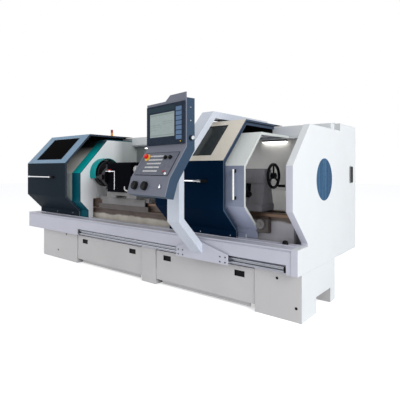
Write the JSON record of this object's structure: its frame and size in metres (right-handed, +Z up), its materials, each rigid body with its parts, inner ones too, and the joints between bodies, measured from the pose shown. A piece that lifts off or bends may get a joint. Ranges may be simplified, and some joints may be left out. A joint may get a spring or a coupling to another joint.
{
  "type": "cnc turning lathe",
  "caption": "Flat-bed turning lathe with sliding sheet-metal guards, chuck, tool turret, tailstock, rolling chip wagons and a control desk that travels along the front.",
  "frame": {"origin": "on the floor, at the middle of the middle pedestal's foot", "axes": "+X along the spindle from headstock to tailstock, +Y from the operator's side to the back, +Z up"},
  "size_m": [4.466, 2.314, 1.9687],
  "materials": {
    "pedestal_paint": "satin",
    "beam_paint": "satin",
    "white_paint": "satin",
    "housing_paint": "satin",
    "teal_paint": "satin",
    "slate_paint": "satin",
    "navy_paint": "satin",
    "console_paint": "satin",
    "panel_grey": "matte",
    "black_paint": "satin",
    "iron": "painted",
    "ground_steel": "ground",
    "steel": "brushed",
    "dark_steel": "blackened",
    "chrome": "polished",
    "rubber": "matte",
    "black_plastic": "matte",
    "red_plastic": "gloss",
    "lamp_plastic": "diffuse",
    "signal_plastic": "gloss",
    "screen_plastic": "gloss",
    "smoked_glass": "smoked",
    "blue_glass": "tinted"
  },
  "bodies": {
    "base": {"pedestals": "pedestal_paint", "front_beam": "beam_paint", "console_rail": "steel", "bed": "iron", "bed_ways": "ground_steel", "rear_wall": "white_paint", "rear_cabinet": "white_paint", "headstock_housing": "housing_paint", "headstock_band": "teal_paint", "spindle_wall": "white_paint", "end_cover": "white_paint", "end_window": "blue_glass", "lamps": "lamp_plastic", "signal_light": "signal_plastic", "headstock_casting": "iron", "spindle_bearings": "steel", "drive_motor": "dark_steel", "drive_belt": "rubber"},
    "spindle": {"spindle": "steel", "chuck_body": "dark_steel"},
    "jaw_1": {"jaw_1": "steel"},
    "jaw_2": {"jaw_2": "steel"},
    "jaw_3": {"jaw_3": "steel"},
    "motor_shaft": {"motor_pulley": "steel"},
    "chuck_guard": {"chuck_guard": "teal_paint"},
    "carriage": {"saddle": "iron"},
    "cross_slide": {"cross_slide": "iron", "turret_housing": "black_paint", "coolant_pipe": "chrome"},
    "valve_lever": {"valve_lever": "red_plastic"},
    "tool_disc": {"tool_disc": "dark_steel"},
    "tailstock": {"tailstock_body": "iron"},
    "quill": {"quill": "steel"},
    "handwheel": {"handwheel": "black_plastic"},
    "clamp_lever": {"clamp_lever": "dark_steel"},
    "left_door": {"left_door": "slate_paint", "left_door_window": "smoked_glass", "left_door_handle": "chrome"},
    "right_door": {"right_door": "navy_paint", "right_door_window": "smoked_glass", "right_door_handle": "chrome"},
    "inner_door": {"inner_door": "white_paint", "inner_door_pull": "chrome"},
    "desk": {"desk_carrier": "white_paint", "desk_arm": "white_paint"},
    "console": {"console_housing": "console_paint", "console_panel": "panel_grey", "screen": "screen_plastic"},
    "emergency_stop": {"emergency_stop": "red_plastic"},
    "feed_knob": {"feed_knob": "black_plastic"},
    "speed_knob": {"speed_knob": "black_plastic"},
    "x_dial": {"x_dial": "black_plastic"},
    "z_dial": {"z_dial": "black_plastic"},
    "lock_switch": {"lock_switch": "chrome"},
    "left_wagon": {"left_wagon": "pedestal_paint"},
    "right_wagon": {"right_wagon": "pedestal_paint"},
    "left_wheels_front": {"left_wheels_front": "rubber"},
    "left_wheels_rear": {"left_wheels_rear": "rubber"},
    "right_wheels_front": {"right_wheels_front": "rubber"},
    "right_wheels_rear": {"right_wheels_rear": "rubber"}
  },
  "joints": [
    {"name": "spindle_turn", "type": "hinge", "parent": "base", "child": "spindle", "pos_m": [-1.2, -0.087, 1.232], "axis": [1, 0, 0], "continuous": true},
    {"name": "motor_turn", "type": "hinge", "parent": "base", "child": "motor_shaft", "pos_m": [-2.2, -0.087, 1.017], "axis": [1, 0, 0], "continuous": true},
    {"name": "jaw_1_slide", "type": "slide", "parent": "spindle", "child": "jaw_1", "axis": [0, 0, 1], "range_m": [-0.008, 0.012]},
    {"name": "jaw_2_slide", "type": "slide", "parent": "spindle", "child": "jaw_2", "axis": [0, -0.866, -0.5], "range_m": [-0.008, 0.012]},
    {"name": "jaw_3_slide", "type": "slide", "parent": "spindle", "child": "jaw_3", "axis": [0, 0.866, -0.5], "range_m": [-0.008, 0.012]},
    {"name": "chuck_guard_swing", "type": "hinge", "parent": "base", "child": "chuck_guard", "pos_m": [-1.25, 0.146, 1.26164], "axis": [-1, 0, 0], "range_deg": [0, 60]},
    {"name": "carriage_slide", "type": "slide", "parent": "base", "child": "carriage", "axis": [1, 0, 0], "range_m": [-0.12, 1]},
    {"name": "cross_slide_slide", "type": "slide", "parent": "carriage", "child": "cross_slide", "axis": [0, 1, 0], "range_m": [-0.06, 0.16]},
    {"name": "tool_disc_turn", "type": "hinge", "parent": "cross_slide", "child": "tool_disc", "pos_m": [-0.76, -0.3245, 1.1958], "axis": [1, 0, 0], "continuous": true},
    {"name": "valve_turn", "type": "hinge", "parent": "cross_slide", "child": "valve_lever", "pos_m": [-0.6282, -0.446, 1.28], "axis": [0, 0, 1], "range_deg": [0, 90]},
    {"name": "tailstock_slide", "type": "slide", "parent": "base", "child": "tailstock", "axis": [1, 0, 0], "range_m": [-0.6, 0.2]},
    {"name": "handwheel_turn", "type": "hinge", "parent": "tailstock", "child": "handwheel", "pos_m": [1.42, -0.087, 1.232], "axis": [1, 0, 0], "range_deg": [0, 4320]},
    {"name": "quill_slide", "type": "slide", "parent": "tailstock", "child": "quill", "axis": [-1, 0, 0], "range_m": [0, 0.121]},
    {"name": "clamp_lever_turn", "type": "hinge", "parent": "tailstock", "child": "clamp_lever", "pos_m": [1.2256, -0.2, 1.0536], "axis": [0, -1, 0], "range_deg": [-40, 40]},
    {"name": "left_door_slide", "type": "slide", "parent": "base", "child": "left_door", "axis": [1, 0, 0], "range_m": [0, 1]},
    {"name": "right_door_slide", "type": "slide", "parent": "base", "child": "right_door", "axis": [1, 0, 0], "range_m": [-0.7, 0.05]},
    {"name": "inner_door_slide", "type": "slide", "parent": "base", "child": "inner_door", "axis": [1, 0, 0], "range_m": [-0.05, 0.42]},
    {"name": "desk_slide", "type": "slide", "parent": "base", "child": "desk", "axis": [1, 0, 0], "range_m": [-1.7, 0.5]},
    {"name": "console_swivel", "type": "hinge", "parent": "desk", "child": "console", "pos_m": [0.788, -0.87, 1.25], "axis": [0, 0, 1], "range_deg": [-20, 40]},
    {"name": "emergency_stop_press", "type": "slide", "parent": "console", "child": "emergency_stop", "axis": [0.1447, 0.8204, -0.5532], "range_m": [0, 0.0075], "stiffness_N_per_m": 600},
    {"name": "feed_knob_turn", "type": "hinge", "parent": "console", "child": "feed_knob", "pos_m": [0.92186, -1.05875, 1.39368], "axis": [-0.1447, -0.8204, 0.5532], "range_deg": [-135, 135]},
    {"name": "speed_knob_turn", "type": "hinge", "parent": "console", "child": "speed_knob", "pos_m": [0.9904, -1.07084, 1.39368], "axis": [-0.1447, -0.8204, 0.5532], "range_deg": [-135, 135]},
    {"name": "x_dial_turn", "type": "hinge", "parent": "console", "child": "x_dial", "pos_m": [0.63015, -1.14324, 1.153], "axis": [-0.1659, -0.9411, 0.2945], "continuous": true},
    {"name": "z_dial_turn", "type": "hinge", "parent": "console", "child": "z_dial", "pos_m": [0.78438, -1.17043, 1.153], "axis": [-0.1659, -0.9411, 0.2945], "continuous": true},
    {"name": "lock_switch_turn", "type": "hinge", "parent": "console", "child": "lock_switch", "pos_m": [1.00143, -1.20871, 1.153], "axis": [-0.1659, -0.9411, 0.2945], "range_deg": [0, 90]},
    {"name": "left_wagon_roll", "type": "slide", "parent": "base", "child": "left_wagon", "axis": [0, -1, 0], "range_m": [0, 0.9]},
    {"name": "left_front_wheels_turn", "type": "hinge", "parent": "left_wagon", "child": "left_wheels_front", "pos_m": [0, -0.257, 0.038], "axis": [1, 0, 0], "range_deg": [0, 1360]},
    {"name": "left_rear_wheels_turn", "type": "hinge", "parent": "left_wagon", "child": "left_wheels_rear", "pos_m": [0, 0.083, 0.038], "axis": [1, 0, 0], "range_deg": [0, 1360]},
    {"name": "right_wagon_roll", "type": "slide", "parent": "base", "child": "right_wagon", "axis": [0, -1, 0], "range_m": [0, 0.9]},
    {"name": "right_front_wheels_turn", "type": "hinge", "parent": "right_wagon", "child": "right_wheels_front", "pos_m": [0, -0.257, 0.038], "axis": [1, 0, 0], "range_deg": [0, 1360]},
    {"name": "right_rear_wheels_turn", "type": "hinge", "parent": "right_wagon", "child": "right_wheels_rear", "pos_m": [0, 0.083, 0.038], "axis": [1, 0, 0], "range_deg": [0, 1360]}
  ],
  "couplings": [
    {"joint": "motor_turn", "follows": "spindle_turn", "ratio": 1.6667},
    {"joint": "jaw_2_slide", "follows": "jaw_1_slide", "ratio": 1},
    {"joint": "jaw_3_slide", "follows": "jaw_1_slide", "ratio": 1},
    {"joint": "quill_slide", "follows": "handwheel_turn", "m_per_rad": 0.0015915},
    {"joint": "left_front_wheels_turn", "follows": "left_wagon_roll", "rad_per_m": 26.316},
    {"joint": "left_rear_wheels_turn", "follows": "left_wagon_roll", "rad_per_m": 26.316},
    {"joint": "right_front_wheels_turn", "follows": "right_wagon_roll", "rad_per_m": 26.316},
    {"joint": "right_rear_wheels_turn", "follows": "right_wagon_roll", "rad_per_m": 26.316}
  ]
}
